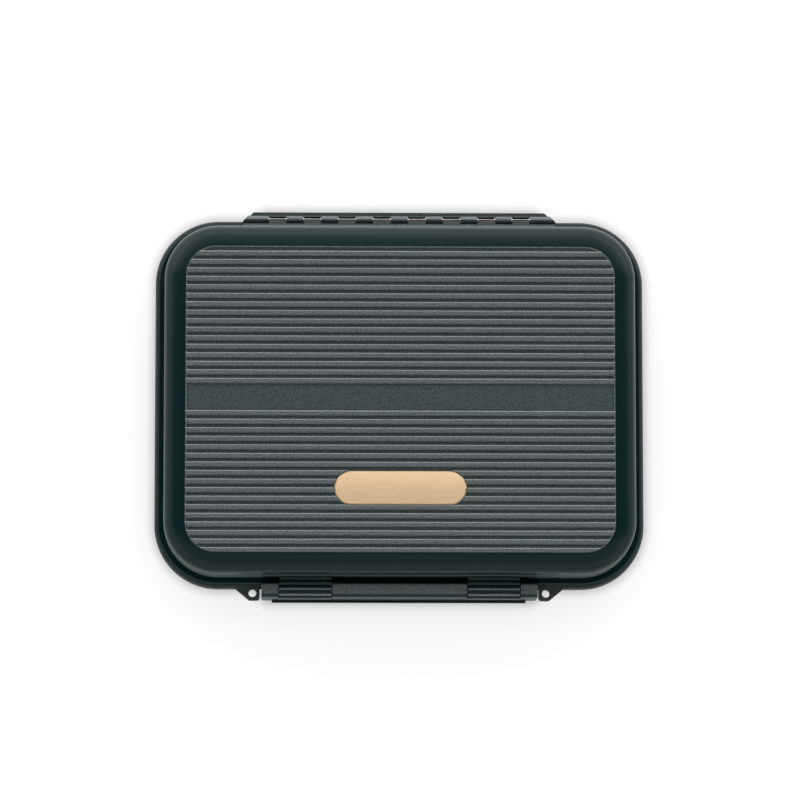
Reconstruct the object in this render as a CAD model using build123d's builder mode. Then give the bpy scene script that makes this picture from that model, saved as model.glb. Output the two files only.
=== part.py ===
"""Waterproof fly box: two moulded shells on a rod hinge, a long lever latch and slit-foam inserts.

Frame: +Z up, +X right, the latch at the front (-Y), the hinge at the rear (+Y).
The origin is under the middle of the closed, latched box.  Millimetres.
"""
from math import radians, sqrt, tan
import os

from build123d import *

# ---------------------------------------------------------------- driving dimensions
# The two shells
flange_length = 130.0        # outline of the base flange, left to right
flange_depth = 98.5          # outline of the base flange, front to rear
flange_radius = 16.9         # its corners
side_overhang = 2.5          # how far the flange stands out from the walls left and right
end_overhang = 2.75          # and from the walls front and rear
flange_thickness = 2.4
flange_chamfer = 0.4         # along its upper edge
lid_flange_side_inset = 0.8  # the lid flange is this much shorter left and right
lid_flange_end_inset = 1.05  # and this much shallower front and rear
lid_flange_thickness = 1.9
wall_radius = 14.4           # corners of the side wall
wall_thickness = 2.4
wall_draft = 1.0             # degrees that the walls lean in, away from the parting plane
rim_radius = 6.1             # rolled edge between the side wall and the top or bottom
base_height = 19.0           # from the foot to the parting plane
lid_height = 16.8            # from the parting plane to the rib crests
parting_gap = 0.2            # the seal holds the two flanges this far apart

# Ribbed panels
rib_pitch = 2.26
rib_width = 1.5              # at the floor of the panel
rib_draft = 0.06             # each flank leans in by this much
rib_bevel = 0.28             # width of the bevel along both upper edges
rib_bevel_drop = 0.2
rib_height = 0.6
rib_root = 0.2               # how far a rib goes on under the floor of its panel
front_ribs = 17              # in front of the plain band of the lid
rear_ribs = 16               # and behind it
band_width = 7.05            # plain band across the middle of a panel
band_offset = -0.1           # its middle on the lid, towards the front
panel_length = 112.4         # floor of the lid panel
panel_depth = 80.4
panel_offset = -0.5          # its middle, towards the front
panel_recess = 0.3           # it lies this far below the rim
panel_radius = 7.6
rib_overrun = 0.35           # the ribs of the lid run this far past the panel floor
foot_ring_width = 5.0        # flat ring that the box stands on
foot_recess = 0.9            # the bottom panel floor lies this far above the foot ring
foot_ribs = 14               # on each side of the plain band of the foot

# Badge on the lid
badge_length = 34.7
badge_depth = 8.95
badge_thickness = 0.9
badge_bevel = 0.35
badge_offset = -24.1         # its middle, towards the front
badge_clearance = 0.1

# Seal
seal_offset = 1.1            # from the inside of the wall to the groove
seal_width = 1.8
seal_height = 2.1
seal_groove_depth = 1.75
seal_side_clearance = 0.1
seal_crown_chamfer = 0.4
seal_crown_clearance = 0.35  # between the seal and the groove in the lid

# Hinge
rod_diameter = 1.1
rod_end_chamfer = 0.2
running_clearance = 0.05     # radial, between a rod and what turns on it
rod_grip = 4.0               # how far the rod goes into each end knuckle
hinge_reach = 0.55           # from the flange edge to the hinge axis
knuckle_radius = 1.05
knuckle_width = 4.4
knuckle_pitch = 9.3
base_knuckles = 7            # covers between the windows, without the two ends
side_clearance = 0.2         # between a hook and the knuckle beside it
swing_clearance = 0.3        # around everything that turns
end_knuckle_width = 6.8
hook_root_thickness = 1.0    # strip along the lid flange that carries the hooks
hook_root_clearance = 0.13   # between the strip and the covers
flat_covers = (0, 3, 6)      # these covers are flat on top
cover_flat = 0.4             # half of the flat
shelf_drop = 2.3             # from the hinge axis to the top of the shelf
shelf_thickness = 3.2
shelf_tip_length = 78.0      # the rear shelf tapers from its root to its tip
shelf_root_length = 83.6
shelf_overhang = 2.35        # from the hinge axis to the edge of the shelf

# Latch
latch_reach = 3.2            # from the side wall of the lid to the latch axis
latch_rise = 3.8             # from the underside of the lid to the latch axis
pin_diameter = 1.5
pin_inset = 0.3              # from the end of the lever to the end of its pin
lug_radius = 2.4
lug_inner = 18.05            # the two ribbed lugs of the lid run from here
lug_outer = 31.75            # to here, left and right of the middle
lug_slot = 0.25              # between a lug and the lever beside it
ridge_radius = 0.45
ridge_rise = 0.45
ridge_angles = (0, 38, 76)   # degrees from straight up towards the front
ridge_pitch = 1.35           # on the flat web behind the barrel
web_ridges = 2
lever_radius = 2.2
lever_flat = 0.3             # the top of the bar is flattened by this much
lever_half_length = 36.5
lever_thickness = 1.8
lever_gap = 0.7              # between the base flange and the lever
lever_corner = 1.8           # lower corners of the plate
lever_drop = 11.3            # from the latch axis to the lower edge
lip_height = 1.2             # finger lip along the lower edge
lip_reach = 0.65             # how far it stands out from the plate
lip_half_length = 33.8
hook_half_length = 29.0
hook_clearance = 0.2         # between the hook and the underside of the flange
hook_reach = 1.2             # how far the hook goes in under the flange
hook_height = 1.0
hook_ramp = 1.0

# Lanyard ears
ear_hole_diameter = 2.1
ear_hole_spacing = 77.8
ear_reach = 1.15             # from the flange edge to the middle of the hole
ear_width = 2.8              # of the tip
ear_margin = 0.85            # material outside the hole
ear_taper = 3.65
ear_corner = 0.8

# Foam inserts
insert_clearance = 0.4
tray_floor = 1.2
tray_rim_width = 1.0
tray_rim_height = 2.0
rail_width = 0.8
rail_height = 1.6
strips = 6
strip_width = 7.4
strip_height = 6.4
strip_end_gap = 3.0
strip_round = 2.2
strip_clearance = 0.15

# ---------------------------------------------------------------- derived dimensions
lid_bottom = base_height + parting_gap
lid_top = base_height + parting_gap + lid_height
rim_level = lid_top - rib_height + panel_recess
panel_floor = lid_top - rib_height

wall_length = flange_length - 2 * side_overhang
wall_depth = flange_depth - 2 * end_overhang
cavity_length = wall_length - 2 * wall_thickness
cavity_depth = wall_depth - 2 * wall_thickness
cavity_radius = wall_radius - wall_thickness
cavity_chamfer = (2 - sqrt(2)) * (rim_radius - wall_thickness)    # keeps the wall even
lid_flange_length = flange_length - 2 * lid_flange_side_inset
lid_flange_depth = flange_depth - 2 * lid_flange_end_inset
lid_flange_radius = flange_radius - (lid_flange_side_inset + lid_flange_end_inset) / 2
flange_edge = flange_depth / 2
lid_flange_edge = lid_flange_depth / 2
wall_face = wall_depth / 2
wall_slope = tan(radians(wall_draft))

foot_length = wall_length - 2 * (base_height * wall_slope + rim_radius + foot_ring_width)
foot_depth = 2 * (band_width / 2 + rib_width / 2 + (foot_ribs - 1) * rib_pitch)

hinge_y = flange_edge + hinge_reach
hinge_z = base_height + parting_gap / 2
pocket_radius = knuckle_radius + swing_clearance
bore_radius = rod_diameter / 2 + running_clearance
shelf_top = hinge_z - shelf_drop
shelf_bottom = shelf_top - shelf_thickness
shelf_edge = hinge_y + shelf_overhang
windows = base_knuckles + 1
window_width = knuckle_pitch - knuckle_width
window_middles = [(index - (windows - 1) / 2) * knuckle_pitch for index in range(windows)]
cover_middles = [(index - (base_knuckles - 1) / 2) * knuckle_pitch for index in range(base_knuckles)]
covers = [(middle, knuckle_width) for middle in cover_middles]
end_knuckle_start = windows * knuckle_pitch / 2 - knuckle_width / 2
end_knuckle_middle = end_knuckle_start + end_knuckle_width / 2
ends = [(side * end_knuckle_middle, end_knuckle_width) for side in (-1, 1)]
rod_length = 2 * (end_knuckle_start + rod_grip)

latch_y = -(wall_face + latch_reach)
latch_z = lid_bottom + latch_rise
lever_inner = -(flange_edge + lever_gap)
lever_outer = lever_inner - lever_thickness
lever_plate_top = latch_z - lug_radius - ridge_rise - swing_clearance
lever_bottom = latch_z - lever_drop
bar_half_length = lug_inner - lug_slot
block_start = lug_outer + lug_slot
hook_top = base_height - flange_thickness - hook_clearance
hook_tip = -(flange_edge - hook_reach)

ear_y = -(flange_edge + ear_reach)
ear_edge = ear_y - ear_hole_diameter / 2 - ear_margin

seal_offset_middle = seal_offset + seal_width / 2
seal_bottom = base_height - seal_groove_depth
seal_top = seal_bottom + seal_height

tray_inset = (base_height - wall_thickness) * wall_slope + cavity_chamfer + insert_clearance
tray_length = cavity_length - 2 * tray_inset
tray_depth = cavity_depth - 2 * tray_inset
tray_radius = cavity_radius - tray_inset
strip_pitch = (tray_depth - 2 * tray_rim_width) / strips
strip_length = tray_length - 2 * (tray_rim_width + strip_end_gap)

base_parting = Plane((0, 0, base_height), x_dir=(1, 0, 0), z_dir=(0, 0, -1))
lid_parting = Plane.XY.offset(lid_bottom)
base_seat = Plane.XY.offset(wall_thickness)
lid_seat = Plane((0, 0, rim_level - wall_thickness), x_dir=(1, 0, 0), z_dir=(0, 0, -1))


# ---------------------------------------------------------------- shared shapes
def outline(plane, length, depth, radius):
    """A rounded rectangle, centred on a plane."""
    with BuildSketch(plane) as sketch:
        RectangleRounded(length, depth, radius)
    return sketch.sketch


def across(start, y, z):
    """A plane square to X at x = start.  Its own axes run to the rear and up, from (y, z)."""
    return Plane((start, y, z), x_dir=(0, 1, 0), z_dir=(1, 0, 0))


def edges_at(builder, level):
    """The edges of a part that lie at one height."""
    return builder.edges().filter_by_position(Axis.Z, level - 0.01, level + 0.01)


def seal_band(plane, width):
    """The closed band of the seal or its groove, seen from above."""
    with BuildSketch(plane) as sketch:
        for reach, mode in ((width / 2, Mode.ADD), (-width / 2, Mode.SUBTRACT)):
            offset_all = seal_offset_middle + reach
            RectangleRounded(cavity_length + 2 * offset_all, cavity_depth + 2 * offset_all,
                             cavity_radius + offset_all, mode=mode)
    return sketch.sketch


def rib_field(panel, direction, length, depth, radius, band, in_front, behind):
    """Ribs in front of and behind the plain band, cut to an outline centred on a panel floor.

    They stand on the plane of the panel and rise along direction, +1 up or -1 down.
    The middle of the band is at y = band.
    """
    floor = panel.origin.Z
    crest = floor + direction * rib_height
    shoulder = crest - direction * rib_bevel_drop
    sunk = floor - direction * rib_root
    foot = rib_width / 2
    flank = foot - rib_draft
    top = flank - rib_bevel
    first = band_width / 2 + foot
    middles = [band - first - index * rib_pitch for index in range(in_front)]
    middles += [band + first + index * rib_pitch for index in range(behind)]
    with BuildPart() as field:
        with BuildSketch(across(-length / 2, 0, 0)):
            for middle in middles:
                with BuildLine():
                    Polyline((middle - foot, sunk), (middle - foot, floor),
                             (middle - flank, shoulder), (middle - top, crest),
                             (middle + top, crest), (middle + flank, shoulder),
                             (middle + foot, floor), (middle + foot, sunk), close=True)
                make_face()
        extrude(amount=length)
        extrude(outline(panel.offset(min(sunk, crest) - floor), length, depth, radius),
                amount=abs(crest - sunk), mode=Mode.INTERSECT)
    return field.part


# ---------------------------------------------------------------- pieces made by functions
def flange_ring(level, thickness, length, depth, radius):
    """A flange plate with a chamfer along its upper edge, open over the cavity."""
    with BuildPart() as ring:
        extrude(outline(Plane.XY.offset(level), length, depth, radius), amount=thickness)
        chamfer(edges_at(ring, level + thickness), flange_chamfer)
        extrude(outline(Plane.XY.offset(level), cavity_length, cavity_depth, cavity_radius),
                amount=thickness, mode=Mode.SUBTRACT)
    return ring.part


def rod(length, diameter, y, z):
    """A steel rod across the box, eased at both ends."""
    with BuildPart() as bar:
        with BuildSketch(across(-length / 2, y, z)):
            Circle(diameter / 2)
        extrude(amount=length)
        chamfer(bar.edges().filter_by(GeomType.CIRCLE), rod_end_chamfer)
    return bar.part


def shelf_outline(level):
    """The rear shelf seen from above: straight to the flange edge, then tapered."""
    root = wall_face - wall_thickness / 2
    with BuildSketch(Plane.XY.offset(level)) as sketch:
        with BuildLine():
            Polyline((-shelf_root_length / 2, root), (-shelf_root_length / 2, flange_edge),
                     (-shelf_tip_length / 2, shelf_edge), (shelf_tip_length / 2, shelf_edge),
                     (shelf_root_length / 2, flange_edge), (shelf_root_length / 2, root), close=True)
        make_face()
    return sketch.sketch


def knuckle_row(spans):
    """Knuckles of the base, each given by its middle and width, cut to the taper of the shelf."""
    with BuildPart() as row:
        for middle, width in spans:
            with BuildSketch(across(middle - width / 2, hinge_y, hinge_z)):
                Circle(knuckle_radius)
                with Locations((0, -shelf_drop / 2)):
                    Rectangle(2 * knuckle_radius, shelf_drop)
            extrude(amount=width)
        extrude(shelf_outline(shelf_bottom), amount=2 * (hinge_z - shelf_bottom), mode=Mode.INTERSECT)
    return row.part


def badge_outline(clearance):
    """The stadium of the badge or its seat, on the floor of the seat."""
    with BuildSketch(Plane.XY.offset(lid_top - badge_thickness)) as sketch:
        with Locations((0, badge_offset)):
            SlotOverall(badge_length + 2 * clearance, badge_depth + 2 * clearance)
    return sketch.sketch


def insert_tray(seat):
    """A thin moulded tray with a rim and a pair of rails for each foam strip."""
    with BuildPart() as tray:
        inside = seat.offset(tray_floor)
        extrude(outline(seat, tray_length, tray_depth, tray_radius), amount=tray_floor + tray_rim_height)
        extrude(outline(inside, tray_length - 2 * tray_rim_width, tray_depth - 2 * tray_rim_width,
                        tray_radius - tray_rim_width), amount=tray_rim_height, mode=Mode.SUBTRACT)
        with BuildSketch(inside):
            with GridLocations(0, strip_pitch, 1, strips):
                with GridLocations(0, strip_width + 2 * strip_clearance + rail_width, 1, 2):
                    Rectangle(strip_length, rail_width)
        extrude(amount=rail_height)
    return tray.part


def foam_strip(seat, row):
    """One bar of slit foam with a rounded top, standing on the floor of a tray."""
    middle = (row - (strips - 1) / 2) * strip_pitch
    section = Plane(seat.from_local_coords((-strip_length / 2, middle, tray_floor)),
                    x_dir=seat.y_dir, z_dir=seat.x_dir)
    with BuildPart() as strip:
        with BuildSketch(section):
            with BuildLine():
                Polyline((-strip_width / 2, strip_height - strip_round), (-strip_width / 2, 0),
                         (strip_width / 2, 0), (strip_width / 2, strip_height - strip_round))
                ThreePointArc((strip_width / 2, strip_height - strip_round), (0, strip_height),
                              (-strip_width / 2, strip_height - strip_round))
            make_face()
        extrude(amount=strip_length)
    return strip.part


# ---------------------------------------------------------------- base shell
with BuildPart() as base_shell:
    # Tub with a rolled lower edge and a bevelled floor
    extrude(outline(base_parting, wall_length, wall_depth, wall_radius),
            amount=base_height, taper=wall_draft)
    fillet(base_shell.faces().sort_by(Axis.Z)[0].edges(), rim_radius)
    extrude(outline(base_parting, cavity_length, cavity_depth, cavity_radius),
            amount=base_height - wall_thickness, taper=wall_draft, mode=Mode.SUBTRACT)
    chamfer(edges_at(base_shell, wall_thickness), cavity_chamfer)

    add(flange_ring(base_height - flange_thickness, flange_thickness,
                    flange_length, flange_depth, flange_radius))

    # Shelf behind the hinge, tapered at both ends
    extrude(shelf_outline(shelf_bottom), amount=shelf_thickness)

    # Windows that the hooks of the lid turn in
    for middle in window_middles:
        with BuildSketch(across(middle - window_width / 2, hinge_y, hinge_z)):
            Circle(pocket_radius)
        extrude(amount=window_width, mode=Mode.SUBTRACT)

    # Covers over the rod between the windows, and the closed knuckles at both ends
    add(knuckle_row(covers))
    add(knuckle_row(ends))

    # Flat tops of three of the covers
    for index in flat_covers:
        with BuildSketch(across(cover_middles[index] - knuckle_width / 2, hinge_y, hinge_z)):
            with BuildLine():
                Polyline((knuckle_radius, 0), (cover_flat, knuckle_radius),
                         (-cover_flat, knuckle_radius), (-knuckle_radius, 0), close=True)
            make_face()
        extrude(amount=knuckle_width)

    # The covers clear the rod and are open underneath, and the ends grip it
    for middle, width in covers:
        with BuildSketch(across(middle - width / 2, hinge_y, hinge_z)):
            Circle(bore_radius)
            with Locations((0, -hinge_z / 2)):
                Rectangle(2 * bore_radius, hinge_z)
        extrude(amount=width, mode=Mode.SUBTRACT)
    with BuildSketch(across(-rod_length / 2, hinge_y, hinge_z)):
        Circle(rod_diameter / 2)
    extrude(amount=rod_length, mode=Mode.SUBTRACT)

    # Lanyard ears on the front edge, at the level of the flange
    ear_root = -flange_edge + end_overhang
    for side in (-1, 1):
        inner_x = side * (ear_hole_spacing / 2 - ear_hole_diameter / 2 - ear_margin)
        tip_x = inner_x + side * ear_width
        outer_x = tip_x + side * ear_taper
        with BuildSketch(Plane.XY.offset(base_height - flange_thickness)) as ear:
            with BuildLine():
                Polyline((inner_x, ear_root), (inner_x, ear_edge), (tip_x, ear_edge),
                         (outer_x, -flange_edge), (outer_x, ear_root), close=True)
            make_face()
            fillet(ear.vertices().group_by(Axis.Y)[0], ear_corner)
            with Locations((side * ear_hole_spacing / 2, ear_y)):
                Circle(ear_hole_diameter / 2, mode=Mode.SUBTRACT)
        extrude(amount=flange_thickness)

    # Groove for the seal
    extrude(seal_band(Plane.XY.offset(seal_bottom), seal_width + 2 * seal_side_clearance),
            amount=seal_groove_depth, mode=Mode.SUBTRACT)

    # Ribbed panel on the underside, inside the flat ring that the box stands on
    extrude(outline(Plane.XY, foot_length, foot_depth, panel_radius),
            amount=foot_recess, mode=Mode.SUBTRACT)
    add(rib_field(Plane.XY.offset(foot_recess), -1, foot_length, foot_depth, panel_radius,
                  0, foot_ribs, foot_ribs))

# ---------------------------------------------------------------- lid shell
with BuildPart() as lid_shell:
    # Cap with a rolled upper edge and a bevelled ceiling
    extrude(outline(lid_parting, wall_length, wall_depth, wall_radius),
            amount=rim_level - lid_bottom, taper=wall_draft)
    fillet(lid_shell.faces().sort_by(Axis.Z)[-1].edges(), rim_radius)
    extrude(outline(lid_parting, cavity_length, cavity_depth, cavity_radius),
            amount=rim_level - wall_thickness - lid_bottom, taper=wall_draft, mode=Mode.SUBTRACT)
    chamfer(edges_at(lid_shell, rim_level - wall_thickness), cavity_chamfer)

    add(flange_ring(lid_bottom, lid_flange_thickness,
                    lid_flange_length, lid_flange_depth, lid_flange_radius))

    # Strip along the rear flange, and the hooks on it that carry the lid on the rod from below
    strip_reach = hinge_y - knuckle_radius - hook_root_clearance - lid_flange_edge
    with BuildSketch(lid_parting):
        with Locations((0, lid_flange_edge)):
            Rectangle(shelf_root_length, 2 * strip_reach)
    extrude(amount=hook_root_thickness)
    hook_width = window_width - 2 * side_clearance
    root_length = hinge_y - lid_flange_edge + end_overhang / 2
    for middle in window_middles:
        with BuildSketch(across(middle - hook_width / 2, hinge_y, hinge_z)):
            Circle(knuckle_radius)
            with Locations((-root_length / 2, parting_gap / 2 + hook_root_thickness / 2)):
                Rectangle(root_length, hook_root_thickness)
            Circle(bore_radius, mode=Mode.SUBTRACT)
            with Locations((0, knuckle_radius / 2)):
                Rectangle(2 * bore_radius, knuckle_radius, mode=Mode.SUBTRACT)
        extrude(amount=hook_width)

    # Two ribbed lugs in front of the side wall, which carry the latch pin
    web_length = latch_reach + wall_thickness / 2
    web_bottom = lid_flange_thickness / 2 - latch_rise
    ridge_seat = lug_radius + ridge_rise - ridge_radius
    for start in (-lug_outer, lug_inner):
        with BuildSketch(across(start, latch_y, latch_z)):
            Circle(lug_radius)
            with Locations((web_length / 2, (lug_radius + web_bottom) / 2)):
                Rectangle(web_length, lug_radius - web_bottom)
            for angle in ridge_angles:
                with Locations(Vector(0, ridge_seat).rotate(Axis.Z, angle)):
                    RegularPolygon(ridge_radius, 6, rotation=angle)
            for step in range(1, web_ridges + 1):
                with Locations((step * ridge_pitch, ridge_seat)):
                    RegularPolygon(ridge_radius, 6)
            Circle(pin_diameter / 2 + running_clearance, mode=Mode.SUBTRACT)
        extrude(amount=lug_outer - lug_inner)

    # Groove that the crown of the seal enters
    extrude(seal_band(Plane.XY.offset(lid_bottom), seal_width + 4 * seal_side_clearance),
            amount=seal_top + seal_crown_clearance - lid_bottom, mode=Mode.SUBTRACT)

    # Ribbed panel, with a seat for the badge cut down through its ribs
    panel = Plane((0, panel_offset, panel_floor))
    extrude(outline(panel, panel_length, panel_depth, panel_radius),
            amount=panel_recess, mode=Mode.SUBTRACT)
    add(rib_field(panel, 1, panel_length + 2 * rib_overrun, panel_depth + 2 * rib_overrun,
                  panel_radius + rib_overrun, band_offset, front_ribs, rear_ribs))
    extrude(badge_outline(badge_clearance), amount=badge_thickness, mode=Mode.SUBTRACT)

# ---------------------------------------------------------------- badge, seal, rods
with BuildPart() as badge_plate:
    extrude(badge_outline(0), amount=badge_thickness)
    chamfer(badge_plate.faces().sort_by(Axis.Z)[-1].edges(), badge_bevel)

with BuildPart() as seal_ring:
    extrude(seal_band(Plane.XY.offset(seal_bottom), seal_width), amount=seal_height)
    chamfer(edges_at(seal_ring, seal_top), seal_crown_chamfer)

with BuildPart() as hinge_rod:
    add(rod(rod_length, rod_diameter, hinge_y, hinge_z))

with BuildPart() as latch_pin:
    add(rod(2 * (lever_half_length - pin_inset), pin_diameter, latch_y, latch_z))

# ---------------------------------------------------------------- latch lever
with BuildPart() as latch_lever:
    # Front plate with rounded lower corners, and the finger lip along its lower edge
    plate_face = Plane.XZ.offset(-lever_inner)
    with BuildSketch(plate_face) as plate:
        with Locations((0, lever_plate_top)):
            Rectangle(2 * lever_half_length, 2 * (lever_plate_top - lever_bottom))
        fillet(plate.vertices().group_by(Axis.Z)[0], lever_corner)
        with Locations((0, lever_plate_top + lever_drop)):
            Rectangle(2 * lever_half_length, 2 * lever_drop, mode=Mode.SUBTRACT)
    extrude(amount=lever_thickness)
    with BuildSketch(plate_face):
        with Locations((0, lever_bottom + lip_height / 2)):
            Rectangle(2 * lip_half_length, lip_height)
    extrude(amount=lever_thickness + lip_reach)

    # Bar and end blocks, which turn around the pin on both sides of the lugs
    spans = ((-bar_half_length, bar_half_length),
             (-lever_half_length, -block_start), (block_start, lever_half_length))
    arm_drop = latch_z - lever_plate_top + lever_thickness / 2
    for start, end in spans:
        with BuildSketch(across(start, latch_y, latch_z)):
            Circle(lever_radius)
            with Locations((0, lever_radius)):
                Rectangle(2 * lever_radius, 2 * lever_flat, mode=Mode.SUBTRACT)
            with Locations(((lever_inner + lever_outer) / 2 - latch_y, -arm_drop / 2)):
                Rectangle(lever_thickness, arm_drop)
        extrude(amount=end - start)

    # Hook that catches under the base flange
    with BuildSketch(across(-hook_half_length, 0, 0)):
        with BuildLine():
            Polyline((lever_inner - lever_thickness / 2, hook_top), (hook_tip, hook_top),
                     (hook_tip, hook_top - hook_height),
                     (lever_inner - lever_thickness / 2, hook_top - hook_height - hook_ramp), close=True)
        make_face()
    extrude(amount=2 * hook_half_length)

    # Bore that grips the pin
    with BuildSketch(across(-lever_half_length, latch_y, latch_z)):
        Circle(pin_diameter / 2)
    extrude(amount=2 * lever_half_length, mode=Mode.SUBTRACT)

# ---------------------------------------------------------------- inserts
with BuildPart() as base_insert_tray:
    add(insert_tray(base_seat))

with BuildPart() as lid_insert_tray:
    add(insert_tray(lid_seat))

# ---------------------------------------------------------------- output
pieces = {
    "base_shell": base_shell.part,
    "lid_shell": lid_shell.part,
    "badge_plate": badge_plate.part,
    "seal_ring": seal_ring.part,
    "hinge_rod": hinge_rod.part,
    "latch_lever": latch_lever.part,
    "latch_pin": latch_pin.part,
    "base_insert_tray": base_insert_tray.part,
    "lid_insert_tray": lid_insert_tray.part,
}
for row in range(strips):
    pieces[f"base_foam_strip_{row + 1}"] = foam_strip(base_seat, row)
    pieces[f"lid_foam_strip_{row + 1}"] = foam_strip(lid_seat, row)

os.makedirs("parts", exist_ok=True)
for name, piece in pieces.items():
    piece.label = name
    export_step(piece, f"parts/{name}.step")
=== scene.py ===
# %% [markdown]
# # A waterproof fly box
#
# The box is two moulded shells on a rod hinge, held shut by one long lever latch.  The shells,
# rods, badge and trays arrive as finished solids, so this script gives them their surfaces and
# adds what solids are poor at: soft foam with slits for the hooks of the flies.
#
# The solids are loaded first.

# %% Load the frame
import math

import bpy
import numpy as np
from mathutils import Matrix, Vector


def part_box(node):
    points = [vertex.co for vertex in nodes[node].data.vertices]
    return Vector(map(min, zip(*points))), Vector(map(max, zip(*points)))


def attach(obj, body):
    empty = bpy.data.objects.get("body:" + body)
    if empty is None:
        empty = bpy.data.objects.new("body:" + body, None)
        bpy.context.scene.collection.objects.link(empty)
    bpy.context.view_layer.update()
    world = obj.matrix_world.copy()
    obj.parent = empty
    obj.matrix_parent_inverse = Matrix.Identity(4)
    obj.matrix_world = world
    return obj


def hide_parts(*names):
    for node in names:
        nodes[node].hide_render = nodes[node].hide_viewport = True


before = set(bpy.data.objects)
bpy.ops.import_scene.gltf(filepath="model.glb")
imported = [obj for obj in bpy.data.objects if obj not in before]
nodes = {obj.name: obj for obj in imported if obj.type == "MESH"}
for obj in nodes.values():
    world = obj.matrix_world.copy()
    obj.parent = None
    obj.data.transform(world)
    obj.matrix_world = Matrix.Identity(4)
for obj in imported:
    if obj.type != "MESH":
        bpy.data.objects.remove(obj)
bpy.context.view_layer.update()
millimetre = 0.001

# %% [markdown]
# ## Sizes that the surfaces need
#
# A finish that changes at an edge, such as the grained panel inside the smooth rim, has to know
# where that edge is.  The box of the lid gives the level of its rib crests.  The rest are levels
# and widths that the moulds of the two shells share.

# %% Sizes taken from the solids
flange_level = 19.0 * millimetre
lid_flange_top = 21.1 * millimetre
panel_half_length = 56.55 * millimetre
panel_half_depth = 40.55 * millimetre
panel_offset = -0.5 * millimetre
panel_corner = 7.95 * millimetre
rib_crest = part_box("lid_shell")[1].z
rib_height = 0.6 * millimetre
print("panel in mm:", 2 * panel_half_length / millimetre, "x", 2 * panel_half_depth / millimetre)
print("rib crests at", round(rib_crest / millimetre, 2), "mm")

# %% [markdown]
# ## Camera
#
# The box lies flat and is seen from almost straight above, tilted a little to the latch side.
# The camera stands far off with a long lens, so the walls hardly spread.  Its axes are worked out
# from the two tilts: back points from the box to the camera, up is as near to +Y as it can be.

# %% Camera
camera_distance = 1.300
focal_length = 219.54
tilt_to_front = math.radians(7.26)
tilt_to_left = math.radians(1.26)
aim = Vector((0.22, 1.265, 19.0)) * millimetre

back = Vector((-math.sin(tilt_to_left), -math.sin(tilt_to_front), 0))
back.z = math.sqrt(1 - back.length_squared)
up = (Vector((0, 1, 0)) - back.y * back).normalized()

camera_data = bpy.data.cameras.new("camera")
camera_data.lens = focal_length
camera_data.sensor_width = 36.0
camera = bpy.data.objects.new("camera", camera_data)
camera.location = aim + camera_distance * back
camera.rotation_euler = Matrix((up.cross(back), up, back)).transposed().to_euler()
bpy.context.scene.collection.objects.link(camera)
bpy.context.scene.camera = camera
bpy.context.scene.view_settings.view_transform = "Standard"
print("camera at", [round(v, 4) for v in camera.location])


# %% [markdown]
# ## A small language for finishes
#
# A finish is a graph of nodes.  Written out node by node it hides its own idea, so a few small
# classes let it be written as sums.  A Wire is one output, and arithmetic on it adds Math nodes.

# %% Wires
class Wire:
    """One output of a shader node.  Arithmetic on it adds a Math node and gives a new Wire."""

    def __init__(self, graph, socket):
        self.graph = graph
        self.socket = socket

    def math(self, operation, *others, flipped=False):
        values = (others[0], self) if flipped else (self, *others)
        return self.graph.node("ShaderNodeMath", {"operation": operation}, dict(enumerate(values)))

    def out(self, name):
        """Another output of the same node."""
        return Wire(self.graph, self.socket.node.outputs[name])

    def __add__(self, other): return self.math("ADD", other)
    def __radd__(self, other): return self.math("ADD", other, flipped=True)
    def __sub__(self, other): return self.math("SUBTRACT", other)
    def __rsub__(self, other): return self.math("SUBTRACT", other, flipped=True)
    def __mul__(self, other): return self.math("MULTIPLY", other)
    def __rmul__(self, other): return self.math("MULTIPLY", other, flipped=True)
    def __pow__(self, other): return self.math("POWER", other)
    def __abs__(self): return self.math("ABSOLUTE")
    def __gt__(self, other): return self.math("GREATER_THAN", other)
    def __lt__(self, other): return self.math("LESS_THAN", other)

    def at_least(self, other): return self.math("MAXIMUM", other)
    def at_most(self, other): return self.math("MINIMUM", other)

    def step(self, low, high):
        """0 below low, 1 above high, and a smooth rise between."""
        return self.graph.node(
            "ShaderNodeMapRange", {"interpolation_type": "SMOOTHSTEP"},
            {"Value": self, "From Min": low, "From Max": high})


print("a wire knows", sum(callable(value) for value in vars(Wire).values()), "operations")

# %% [markdown]
# A Graph adds any other node with one method, which takes the node's type, its settings, and the
# values or wires of its inputs.  Noise and mixed colours are used so often that they have methods
# of their own.

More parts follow.
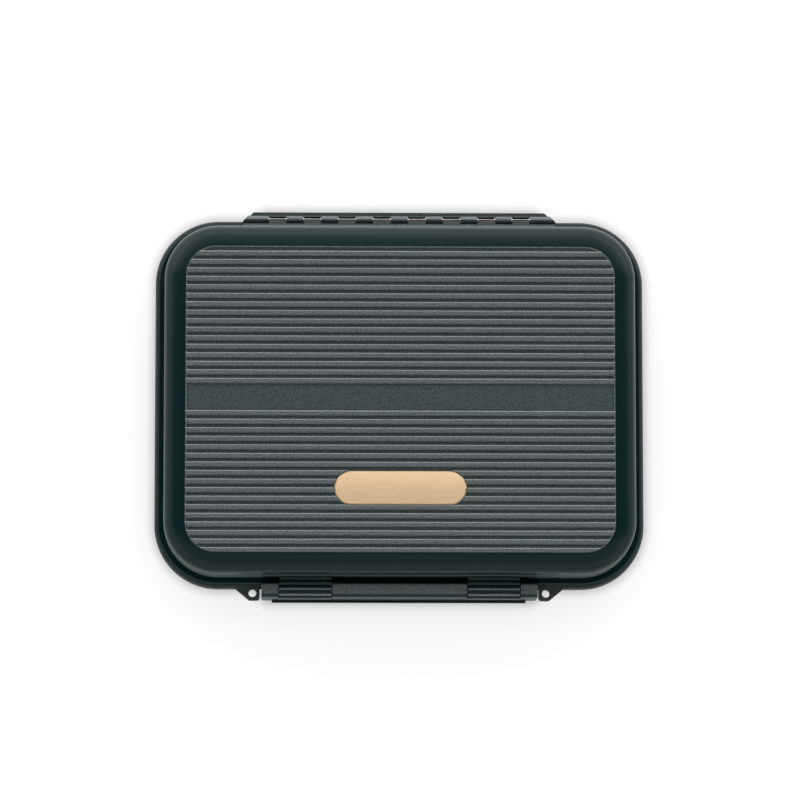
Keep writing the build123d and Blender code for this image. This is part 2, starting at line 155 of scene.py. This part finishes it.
# %% Graphs
class Graph:
    """A node tree, emptied, with the place of the shaded point split into x, y and z."""

    def __init__(self, tree, coordinates):
        self.tree = tree
        self.tree.nodes.clear()
        self.place = self.node("ShaderNodeTexCoord", output=coordinates)
        self.x = self.node("ShaderNodeSeparateXYZ", {}, {0: self.place}, output="X")
        self.y, self.z = self.x.out("Y"), self.x.out("Z")

    def node(self, kind, settings=None, values=None, output=0):
        """Adds a node, sets its settings first, then the values or links of its inputs."""
        node = self.tree.nodes.new(kind)
        for name, value in (settings or {}).items():
            setattr(node, name, value)
        for key, value in (values or {}).items():
            if isinstance(value, Wire):
                self.tree.links.new(value.socket, node.inputs[key])
            else:
                node.inputs[key].default_value = value
        return Wire(self, node.outputs[output])

    def noise(self, grain, detail=2.0, roughness=0.5, stretch=(1, 1, 1)):
        """Noise from 0 to 1 whose lumps are about grain metres across."""
        scaled = self.node("ShaderNodeVectorMath", {"operation": "MULTIPLY"},
                           {0: self.place, 1: tuple(s / grain for s in stretch)})
        return self.node("ShaderNodeTexNoise", {},
                         {"Vector": scaled, "Scale": 1.0, "Detail": detail, "Roughness": roughness})

    def mix(self, amount, first, second):
        """A colour between two colours."""
        first, second = [(*c, 1) if isinstance(c, tuple) else c for c in (first, second)]
        return self.node("ShaderNodeMix", {"data_type": "RGBA"}, {0: amount, 6: first, 7: second}, output=2)

    def finish(self, shader, output_kind="ShaderNodeOutputMaterial"):
        """Links a shader to the output."""
        output = self.tree.nodes.new(output_kind)
        self.tree.links.new(shader.socket, output.inputs["Surface"])


# %% [markdown]
# A Finish is the graph of one material.  Its patterns stand on Object coordinates.  Every piece has
# its place in its mesh, so these are metres from the middle of the foot of the closed box, and a
# pattern stays on its piece when the piece turns.

# %% Finishes
class Finish(Graph):
    """The graph of one material.  Its last call is surface(), which sets the Principled shader."""

    def __init__(self, name):
        self.material = bpy.data.materials.new(name)
        self.material.use_nodes = True
        super().__init__(self.material.node_tree, "Object")

    def facing_rear(self):
        """How far the surface faces +Y, from -1 to 1."""
        normal = self.node("ShaderNodeTexCoord", output="Normal")
        return self.node("ShaderNodeSeparateXYZ", {}, {0: normal}, output="Y")

    def bump(self, height, depth):
        """A normal bent by a height from 0 to 1, where 1 is depth metres high."""
        return self.node("ShaderNodeBump", {}, {"Height": height, "Distance": depth, "Strength": 1.0})

    def surface(self, **values):
        """Ends the finish in a Principled shader with these inputs."""
        named = {name.replace("_", " "): value for name, value in values.items()}
        named = {name: (*v, 1) if isinstance(v, tuple) and len(v) == 3 else v for name, v in named.items()}
        self.finish(self.node("ShaderNodeBsdfPrincipled", {}, named))
        return self.material


# %% [markdown]
# ## Light
#
# Dark satin plastic shows little colour of its own.  What draws its form is what it mirrors.  So
# the studio is a room with a pale wall behind the hinge that fades out overhead, dim low walls at
# the sides, a veil over the front, and a dark ceiling.  The rolled rim then runs from a bright
# outer edge to near black, and every rib has one bright edge.  Lamps could stand for the walls, but
# their straight edges would show in the rim, so the world's colour is a formula of the direction
# instead.

# %% Walls of the studio
ceiling = 0.02
tall_wall, tall_rise, tall_falloff = 1.1, 2.2, 1.3
low_wall, low_falloff = 1.2, 6.0
veil = 0.8


def studio_walls(graph):
    """Radiance by direction: a tall wall at +Y and low walls on the other sides.

    With low = 1 - z, the tall wall is tall_wall + tall_rise low^tall_falloff, and the low walls are
    low_wall low^low_falloff.  The share of the tall wall rises from 0 at y = 0.10 to 1 at y = 0.42.
    The veil over the front fades out from y = -0.4 to y = 0.
    """
    low = 1 - graph.z.at_least(0.0)
    rear = graph.y.step(0.10, 0.42)
    front = 1 - graph.y.step(-0.4, 0.0)
    tall = tall_wall + tall_rise * low ** tall_falloff
    return ceiling + rear * tall + (1 - rear) * (low_wall * low ** low_falloff) + veil * front


# %% [markdown]
# The camera sees plain white where nothing stands, and everything else is lit by the walls.  Light
# Path tells the two apart.

# %% World
world = bpy.data.worlds.new("studio")
world.use_nodes = True
bpy.context.scene.world = world
studio = Graph(world.node_tree, "Generated")
seen = studio.node("ShaderNodeLightPath", output="Is Camera Ray")
walls = studio_walls(studio)
strength = walls * (1 - seen) + seen
backdrop = studio.node("ShaderNodeBackground", {}, {"Color": (1.0, 0.97, 0.99, 1), "Strength": strength})
studio.finish(backdrop, "ShaderNodeOutputWorld")
print("nodes in the world:", len(world.node_tree.nodes))

# %% [markdown]
# ## The moulded plastic
#
# Both shells and the lever are one dark green plastic with two textures that the mould gives:
# polished satin on the rims, and a fine spark grain on the ribbed panels and the walls.  The grain
# scatters the light, so it looks grey beside the dark rim, and it is rubbed paler wherever fingers
# and pockets reach it.  Pale painted highlights are laid on the same grain where edges and tops
# catch the light: the rear bevels of the ribs, the ridges of the lugs, the crests of the hinge
# covers and the top of the lever.  One finish makes all of this.  A function of its own for each
# piece says how much grain, wear and painted highlight is where.

# %% Moulded plastic
plastic_green = (0.0015, 0.0145, 0.0142)
clouded_green = (0.0020, 0.0165, 0.0162)
grain_size = 0.45 * millimetre
haze_depth = 0.008 * millimetre
grain_depth = 0.06 * millimetre
# Each state of the grain has one colour in its pits and one on its peaks.
fresh = (0.030, 0.050, 0.050), (0.073, 0.096, 0.096)
rubbed = (0.062, 0.078, 0.077), (0.148, 0.170, 0.169)
# The third pair is not wear: it is the grain drawn pale as a painted highlight where an edge or a top
# catches the light.
painted_highlight = (0.152, 0.177, 0.178), (0.286, 0.312, 0.312)


def moulded(name, grained=None, specular=0.16):
    """Satin plastic.  grained(finish) gives the share of spark grain and its wear.

    A wear of 0 is the fresh grain and 1 a rubbed surface; 2 is a pale line that is a painted
    highlight, not wear, on an edge or top that catches the light.
    """
    finish = Finish(name)
    cloud = finish.noise(12 * millimetre)
    haze = finish.noise(1.4 * millimetre, detail=3.0)
    colour = finish.mix(cloud, plastic_green, clouded_green)
    roughness = 0.21 + 0.06 * haze
    height, depth = haze, haze_depth
    if grained is not None:
        grain, wear_and_highlight = grained(finish)
        sparks = finish.noise(grain_size, detail=3.0, roughness=0.7)
        peaks = sparks.step(0.32, 0.68)
        rubbing = finish.mix(wear_and_highlight.at_most(1.0), finish.mix(peaks, *fresh), finish.mix(peaks, *rubbed))
        # Above 1 the grain goes over to the painted highlight.
        texture = finish.mix((wear_and_highlight - 1).at_least(0.0), rubbing, finish.mix(peaks, *painted_highlight))
        colour = finish.mix(grain, colour, texture)
        roughness = roughness + grain * 0.35
        height, depth = sparks * grain, grain_depth
    return finish.surface(Base_Color=colour, Roughness=roughness, Specular_IOR_Level=specular,
                          Normal=finish.bump(height, depth))


def dress(name, material):
    """Gives a solid its finish."""
    mesh = nodes[name].data
    mesh.materials.clear()
    mesh.materials.append(material)


# %% [markdown]
# ## Where the grain is
#
# The panel has rounded corners, so its mask is the distance to a rounded rectangle, as for a button
# in a drawing program.  A distance fades out evenly all the way round, which a picture of the mask
# would not do at the corners.

# %% Mask with rounded corners
def rounded_mask(finish, half_length, half_depth, corner, middle_y, blur, middle_x=0.0):
    """1 inside a rounded rectangle about (middle_x, middle_y), 0 outside, with a blurred edge.

    With q = |p| - (half - corner), the distance is length(max(q, 0)) + min(max(qx, qy), 0) - corner.
    """
    over_x = abs(finish.x - middle_x) - (half_length - corner)
    over_y = abs(finish.y - middle_y) - (half_depth - corner)
    outside = (over_x.at_least(0.0) ** 2 + over_y.at_least(0.0) ** 2) ** 0.5
    inside = over_x.at_least(over_y).at_most(0.0)
    distance = outside + inside - corner
    return 1 - distance.step(-blur / 2, blur / 2)


# %% [markdown]
# ### The lid
#
# The panel of the lid is grained all over.  The crests of its ribs are rubbed, and the bevel that
# faces the rear carries a painted highlight, a pale line.  The two lugs of the latch are smooth
# between their ridges, and the tops of the ridges are grained and drawn pale as a painted highlight.
# The hooks of the hinge stand on a strip along the rear of the flange, which is grained and paler, as
# the crests are.

# %% Grain of the lid
mask_blur = 0.25 * millimetre
wall_grain = 0.8
wall_wear = 0.3
lid_wall_fade = 27.5 * millimetre, 30.5 * millimetre
crest_fade = rib_crest - 0.5 * millimetre, rib_crest - 0.3 * millimetre
bevel_foot = rib_crest - 0.23 * millimetre
bevel_edge = rib_crest - 0.02 * millimetre
latch_axis_y = -49.7 * millimetre
latch_axis_z = 23.0 * millimetre
lug_rear = -46.6 * millimetre
lug_foot = lid_flange_top + 0.05 * millimetre
lug_radius = 2.4 * millimetre
ridge_height = 0.3 * millimetre
hinge_axis_y = 49.8 * millimetre
strip_middle = hinge_axis_y - 1.3 * millimetre
strip_half_width = 1.1 * millimetre
strip_half_length = 41.8 * millimetre


def lug_ridges(finish):
    """The ridges on the lugs, and the web behind the latch axis that carries the last of them.

    A point is on a ridge where it lies further out than the lug: in front of the axis by its
    distance from the axis, and on the flat web behind it by its height over the axis.
    """
    lugs = (finish.y < lug_rear) * (finish.z > lug_foot)
    out = ((finish.y - latch_axis_y) ** 2 + (finish.z - latch_axis_z) ** 2) ** 0.5
    over_axis = (finish.z - latch_axis_z).at_least(0.0)
    web = finish.y > latch_axis_y
    height = over_axis * web + out * (1 - web)
    return lugs, web, height.step(lug_radius, lug_radius + ridge_height) * lugs


def lid_grain(finish):
    """The ribbed panel and its crests, and less on the walls, the lugs and the hinge strip."""
    panel = rounded_mask(
        finish, panel_half_length, panel_half_depth, panel_corner, panel_offset, mask_blur)
    top = panel * (finish.z > rib_crest - 2 * rib_height)
    walls = (finish.z > lid_flange_top) * (1 - finish.z.step(*lid_wall_fade))
    crest = finish.z.step(*crest_fade)
    # The pale line on the rear-facing bevel of each rib is a painted highlight.
    bevel_highlight = (finish.z < bevel_edge) * (finish.z > bevel_foot) * (finish.facing_rear() > 0.2)
    lugs, web, ridge = lug_ridges(finish)
    strip = abs(finish.y - strip_middle) < strip_half_width
    strip = strip * (abs(finish.x) < strip_half_length)
    # The tops of the lug ridges are grained and drawn pale as a painted highlight.
    grain = top.at_least(wall_grain * walls * (1 - lugs)).at_least(ridge * (1 - 0.75 * web))
    # Values above 1 are painted highlight: 2 on the rear bevels of the ribs and 1.3 on the lug ridges.
    wear_and_highlight = (crest * (1 + bevel_highlight)).at_least(1.3 * ridge).at_least(0.75 * strip)
    return grain.at_least(strip), wear_and_highlight.at_least(wall_wear * walls)


# %% [markdown]
# ### The base and the lever
#
# The base has the same grain on its walls and on the panel under it.  Its hinge covers carry a
# painted highlight, a pale band along the rear of their crests.  The lever is one long smooth bar,
# with more grain along its top and a paler colour there that is a painted highlight.

# %% Grain of the base and the lever
foot_panel_half_length = 50.9 * millimetre
foot_panel_half_depth = 33.9 * millimetre
foot_crest = 0.35 * millimetre
base_wall_fade = 4.5 * millimetre, 7.5 * millimetre
cover_foot = flange_level + 0.02 * millimetre
cover_highlight_fade = hinge_axis_y - 0.3 * millimetre, hinge_axis_y + 0.1 * millimetre
cover_highlight_end = hinge_axis_y + 0.8 * millimetre
lever_top_fade = latch_axis_z + 1.5 * millimetre, latch_axis_z + 1.95 * millimetre


def base_grain(finish):
    """The panel under the base and its crests, and less on the walls and the hinge covers."""
    panel = rounded_mask(
        finish, foot_panel_half_length, foot_panel_half_depth, panel_corner, 0.0, mask_blur)
    walls = finish.z.step(*base_wall_fade)
    # The pale band along the rear of the crest of each hinge cover is a painted highlight.
    highlit_covers = (finish.z > cover_foot) * finish.y.step(*cover_highlight_fade) * (finish.y < cover_highlight_end)
    grain = (panel * (finish.z < 2 * rib_height)).at_least(wall_grain * walls).at_least(highlit_covers)
    # The 1.8 on the covers is painted highlight; the rest is wear.
    wear_and_highlight = (finish.z < foot_crest).at_least(1.8 * highlit_covers).at_least(wall_wear * walls)
    return grain, wear_and_highlight


def lever_grain(finish):
    """A trace of grain all over, and more of it along the top of the bar, whose paler colour there is a
    painted highlight.
    """
    top = finish.z.step(*lever_top_fade)
    # The 1.9 along the top of the bar is a painted highlight: the top drawn paler.
    return 0.25 + 0.35 * top, 1.9 * top


# %% [markdown]
# The lever has less gloss than the shells, so it mirrors less of the studio.  The two trays are
# alike, so they share one plain finish.

# %% Dress the mouldings
dress("lid_shell", moulded("lid_plastic", lid_grain))
dress("base_shell", moulded("base_plastic", base_grain))
dress("latch_lever", moulded("lever_plastic", lever_grain, specular=0.07))
tray_plastic = moulded("tray_plastic")
dress("base_insert_tray", tray_plastic)
dress("lid_insert_tray", tray_plastic)
print("mouldings:", [m.name for m in bpy.data.materials if m.name.endswith("plastic")])

# %% [markdown]
# ## Metal
#
# The badge is champagne-gold anodised aluminium, brushed along its length: noise stretched far
# along X makes fine parallel lines, which go into the colour, the roughness and a very shallow
# bump.  The rod and the pin are drawn steel, with the same idea at a smaller scale.

# %% Brushed metal
def brushed(name, colour, dark_colour, roughness, line, depth, metallic=1.0, dome=None):
    """Metal brushed along X, with lines about line metres wide.

    dome is the middle y, half width and height of a slight crown: height (1 - (y / half width)^2).
    """
    finish = Finish(name)
    lines = finish.noise(line, detail=2.0, stretch=(0.02, 1, 1))
    cloud = finish.noise(6 * millimetre, detail=1.0)
    shade = finish.mix(lines.step(0.2, 0.9), dark_colour, colour)
    shade = finish.mix(cloud * 0.25, shade, dark_colour)
    height = lines * depth
    if dome is not None:
        middle, half_width, rise = dome
        height = height + rise * (1 - ((finish.y - middle) * (1 / half_width)) ** 2)
    return finish.surface(
        Base_Color=shade, Metallic=metallic, Roughness=roughness + 0.12 * lines,
        Normal=finish.bump(height, 1.0))


# %% [markdown]
# The badge is crowned a little from front to rear, which spreads its highlight.  The rod of the
# hinge is bright, and the pin of the latch is blackened.

# %% Dress the metal
badge_low, badge_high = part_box("badge_plate")
badge_crown = 0.38 * millimetre
badge_dome = ((badge_low.y + badge_high.y) / 2, (badge_high.y - badge_low.y) / 2, badge_crown)
dress("badge_plate", brushed(
    "badge_gold", (0.91, 0.71, 0.42), (0.75, 0.57, 0.33), roughness=0.42,
    line=0.16 * millimetre, depth=0.010 * millimetre, metallic=0.42, dome=badge_dome))
dress("hinge_rod", brushed(
    "rod_steel", (0.95, 0.86, 0.81), (0.66, 0.60, 0.56), roughness=0.30,
    line=0.10 * millimetre, depth=0.006 * millimetre))
dress("latch_pin", brushed(
    "pin_steel", (0.11, 0.11, 0.11), (0.07, 0.07, 0.07), roughness=0.35,
    line=0.10 * millimetre, depth=0.006 * millimetre))
print("badge in mm:", [round(v / millimetre, 2) for v in badge_high - badge_low])

# %% [markdown]
# ## Seal
#
# The seal is black silicone: soft, nearly without gloss, with a faint bloom of lighter dust.

# %% Silicone
def silicone(name):
    """Black rubber with a little bloom."""
    finish = Finish(name)
    bloom = finish.noise(4 * millimetre, detail=4.0, roughness=0.6)
    colour = finish.mix(bloom.step(0.45, 0.8), (0.010, 0.010, 0.010), (0.030, 0.031, 0.032))
    return finish.surface(Base_Color=colour, Roughness=0.55 + 0.15 * bloom,
                          Normal=finish.bump(finish.noise(0.6 * millimetre), 0.02 * millimetre))


dress("seal_ring", silicone("seal_silicone"))
print("seal dressed in", nodes["seal_ring"].data.materials[0].name)

# %% [markdown]
# ## Slit foam
#
# Each half holds six bars of closed-cell foam.  A bar is cut across every few millimetres, and the
# bend of a hook is pushed into a cut, which closes on it.  The solid is a plain bar, so a detailed
# one replaces it.  It is a section carried along X, and each cut squeezes the upper part of the
# section down to the bottom of the cut.  The lips beside a cut are a little lower, because cut foam
# rolls outwards.
#
# The first helper turns arrays into an object, and the second joins the rings of a tube.

# %% Mesh from a grid
def mesh_object(name, vertices, faces):
    """An object at the origin with this mesh, shaded smooth."""
    mesh = bpy.data.meshes.new(name)
    mesh.from_pydata(vertices.tolist(), [], faces)
    mesh.polygons.foreach_set("use_smooth", np.full(len(mesh.polygons), True))
    mesh.update()
    piece = bpy.data.objects.new(name, mesh)
    bpy.context.scene.collection.objects.link(piece)
    return piece


def tube_faces(rings, points):
    """Quads between rings of points, and one flat face on each end."""
    ring, point = np.meshgrid(np.arange(rings - 1), np.arange(points), indexing="ij")
    after = (point + 1) % points
    quads = np.stack([ring * points + point, ring * points + after,
                      (ring + 1) * points + after, (ring + 1) * points + point], axis=-1)
    first = list(range(points))[::-1]
    last = [(rings - 1) * points + i for i in range(points)]
    return quads.reshape(-1, 4).tolist() + [first, last]


print("a tube of 3 rings of 4 points has", len(tube_faces(3, 4)), "faces")

# %% [markdown]
# The section has a flat floor, on which the bar lies in its tray, and a round top, over which the
# hooks slide until they find a cut.

# %% Section of a foam bar
crown = 2.2 * millimetre


def foam_section(half_width, height):
    """The outline of a bar: flat floor, straight sides, and half an ellipse on top.

    Along the top y = -w cos(t) and z = h - crown + crown sin(t), with t from 0 to pi.
    """
    t = np.linspace(0, math.pi, 17)
    side = np.linspace(0, height - crown, 6)[:-1]
    y = np.concatenate([np.full(5, -half_width), -half_width * np.cos(t), np.full(5, half_width),
                        np.linspace(half_width, -half_width, 5)[1:-1]])
    z = np.concatenate([side, height - crown + crown * np.sin(t), side[::-1], np.zeros(3)])
    return y, z


print("points in the section:", len(foam_section(3.7 * millimetre, 6.4 * millimetre)[0]))

# %% [markdown]
# Rings stand close together at each cut and far apart between cuts, so few points draw sharp cuts.
# All rings are worked out at once: x runs down the rows of an array, and the section runs along
# its columns.

# %% Cuts across a foam bar
cut_pitch = 3.4 * millimetre
cut_width = 0.30 * millimetre
cut_depth = 4.3 * millimetre
cut_floor = 0.02
lip_width = 0.45 * millimetre
lip_drop = 0.28 * millimetre
lip_squeeze = 0.05


def slit_foam(name, node, rises):
    """A bar in the box of a node, cut across.  rises is 1 if it stands up and -1 if it hangs.

    The gap from a ring to the nearest cut gives open, from cut_floor in the cut to 1 beyond its
    edge.  Above the bottom of the cut, z becomes bottom + (z - bottom) open (1 - roll / cut_depth),
    where roll = lip_drop exp(-gap / lip_width), and y is squeezed by up to lip_squeeze.
    """
    low, high = (np.array(corner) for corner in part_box(node))
    length, width, height = high - low
    count = int(length / cut_pitch)
    cuts = (np.arange(count) - (count - 1) / 2) * cut_pitch
    near = np.array([-0.5 * cut_width, -0.35 * cut_width, 0, 0.35 * cut_width, 0.5 * cut_width])
    lips = np.array([-cut_width / 2 - lip_width, -cut_width / 2 - lip_width / 3,
                     cut_width / 2 + lip_width / 3, cut_width / 2 + lip_width])
    around = np.sort(np.concatenate([near, lips, [cut_pitch / 2]]))
    x = np.concatenate([[-length / 2], (cuts[:, None] + around).ravel(), [length / 2]])
    x = np.unique(np.clip(x, -length / 2, length / 2).round(7))
    gap = np.abs(x[:, None] - cuts).min(axis=1)
    open_part = np.clip((gap - 0.3 * cut_width) / (0.2 * cut_width), cut_floor, 1)
    roll = lip_drop * np.exp(-np.clip(gap - cut_width / 2, 0, None) / lip_width)
    y, z = foam_section(width / 2, height)
    bottom = height - cut_depth
    above = np.clip(z - bottom, 0, None)
    risen = np.minimum(z, bottom) + above * open_part[:, None] * (1 - roll[:, None] / cut_depth)
    squeeze = 1 - lip_squeeze * (above / cut_depth) * np.exp(-gap[:, None] / lip_width)
    points = np.stack([
        np.broadcast_to(x[:, None], risen.shape),
        (low[1] + high[1]) / 2 + rises * y * squeeze,
        low[2] + risen if rises > 0 else high[2] - risen,
    ], axis=-1)
    points[..., 0] += (low[0] + high[0]) / 2
    bar = mesh_object(name, points.reshape(-1, 3), tube_faces(len(x), len(y)))
    return bar, count


# %% [markdown]
# The foam is charcoal grey with closed cells of about a quarter of a millimetre.  Cells are what a
# Voronoi texture draws, so it gives the bump, in which each cell is a pit, and it darkens the
# colour towards the bottom of each pit as painted shade.

# %% Foam
cells_per_metre = 3600.0


def foam(name):
    """Charcoal closed-cell foam: fine cells in the bump, cloudy colour, painted shade in the cells, and no
    gloss.
    """
    finish = Finish(name)
    scaled = finish.node("ShaderNodeVectorMath", {"operation": "MULTIPLY"},
                         {0: finish.place, 1: (cells_per_metre,) * 3})
    cells = finish.node("ShaderNodeTexVoronoi", {}, {"Vector": scaled, "Scale": 1.0})
    cloud = finish.noise(5 * millimetre, detail=3.0)
    colour = finish.mix(cloud, (0.026, 0.027, 0.029), (0.042, 0.043, 0.046))
    # Painted shade: the colour is darkest at the middle of each cell, the bottom of its pit.
    colour = finish.mix(cells.step(0.1, 0.7) * 0.6, (0.016, 0.016, 0.017), colour)
    return finish.surface(Base_Color=colour, Roughness=0.86 + 0.1 * cloud,
                          Normal=finish.bump(cells, 0.05 * millimetre))


# %% [markdown]
# The bars of the base stand up and those of the lid hang, and each rides with its own half.

# %% Twelve foam bars
rows_in_each_half = 6
charcoal = foam("foam_charcoal")
for half, rises in (("base", 1), ("lid", -1)):
    for row in range(1, rows_in_each_half + 1):
        node = f"{half}_foam_strip_{row}"
        bar, cut_count = slit_foam(f"{half}_foam_bar_{row}", node, rises)
        bar.data.materials.append(charcoal)
        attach(bar, half)
        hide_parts(node)
print("cuts in a bar:", cut_count, "vertices in a bar:", len(bar.data.vertices))

# %% [markdown]
# ## Floor
#
# The box stands on a pale sheet.  To the camera the sheet glows white, and in gloss it glows less,
# but it also takes light as a surface does, so that the box keeps the soft shadow under its rim.
# The glow fades where the sheet is close to the box.  A closed box in a light tent also has a
# narrow dark ring of shadow around its outline, and here that ring is a painted shadow, drawn by the
# distance to that outline.

# %% Finish of the floor
shadow_reach = 14.0 * millimetre
shadow_depth = 0.3
shadow_ring_depth = 0.76
shadow_ring_core = 0.56
shadow_ring_blur = 5.8 * millimetre
shadow_ring_shift = 0.5 * millimetre
# Half length, half depth, corner radius and middle y of each rounded outline, in millimetres
outlines = {"shells": (66.0, 50.1, 17.1, 2.3),
            "hinge": (40.0, 20.0, 5.0, 35.1),
            "latch": (39.0, 20.0, 5.0, -31.2)}
camera_glow = 0.85
mirror_glow, mirror_rise = 0.54, 0.70
bounce_glow = 0.45
sheet_grey = 0.25


def pale_sheet(name):
    """A diffuse sheet with a glow, which is lit x camera_glow for rays from the camera.

    lit = (1 - shadow_depth x occlusion) (1 - shadow_ring_depth x ring).  Gloss and glass see mirror_glow,
    rising by mirror_rise towards the rear wall, and all other rays see bounce_glow.
    From below the sheet is clear, so that the foot of the box can be looked at.
    """
    finish = Finish(name)
    rays = finish.node("ShaderNodeLightPath", output="Is Camera Ray")
    mirrored = rays.out("Is Glossy Ray").at_least(rays.out("Is Transmission Ray"))
    clear = finish.node("ShaderNodeAmbientOcclusion", {}, {"Distance": shadow_reach}, output="AO")
    # The ring is a painted shadow: it dims the glow by the distance to each outline.
    ring = 0.0
    for outline in outlines.values():
        sizes = [size * millimetre for size in outline]
        ring = rounded_mask(finish, *sizes, shadow_ring_blur, shadow_ring_shift).at_least(ring)
    lit = (1 - shadow_depth * (1 - clear)) * (1 - shadow_ring_depth * ring.at_most(shadow_ring_core))
    rear = finish.y.step(30 * millimetre, 120 * millimetre)
    seen = (camera_glow * rays * lit).at_least((mirror_glow + mirror_rise * rear) * mirrored)
    seen = seen.at_least(bounce_glow * (1 - rays))
    diffuse = finish.node("ShaderNodeBsdfDiffuse", {}, {"Color": (*[sheet_grey] * 3, 1)})
    glow = finish.node("ShaderNodeEmission", {}, {"Color": (1, 1, 1, 1), "Strength": seen})
    sheet = finish.node("ShaderNodeAddShader", {}, {0: diffuse, 1: glow})
    below = finish.node("ShaderNodeNewGeometry", output="Backfacing")
    nothing = finish.node("ShaderNodeBsdfTransparent")
    finish.finish(finish.node("ShaderNodeMixShader", {}, {0: below, 1: sheet, 2: nothing}))
    return finish.material


# %% [markdown]
# The sheet lies a hair under the foot of the box, because two faces in one plane flicker.

# %% Floor
floor_level = -0.05 * millimetre
floor_reach = 3.0
corners = floor_reach * np.array([[-1, -1, 0], [1, -1, 0], [1, 1, 0], [-1, 1, 0]])
floor = mesh_object("floor", corners + (0, 0, floor_level), [[0, 1, 2, 3]])
floor.data.materials.append(pale_sheet("pale_sheet"))
print("floor:", 2 * floor_reach, "m square at", floor_level / millimetre, "mm")
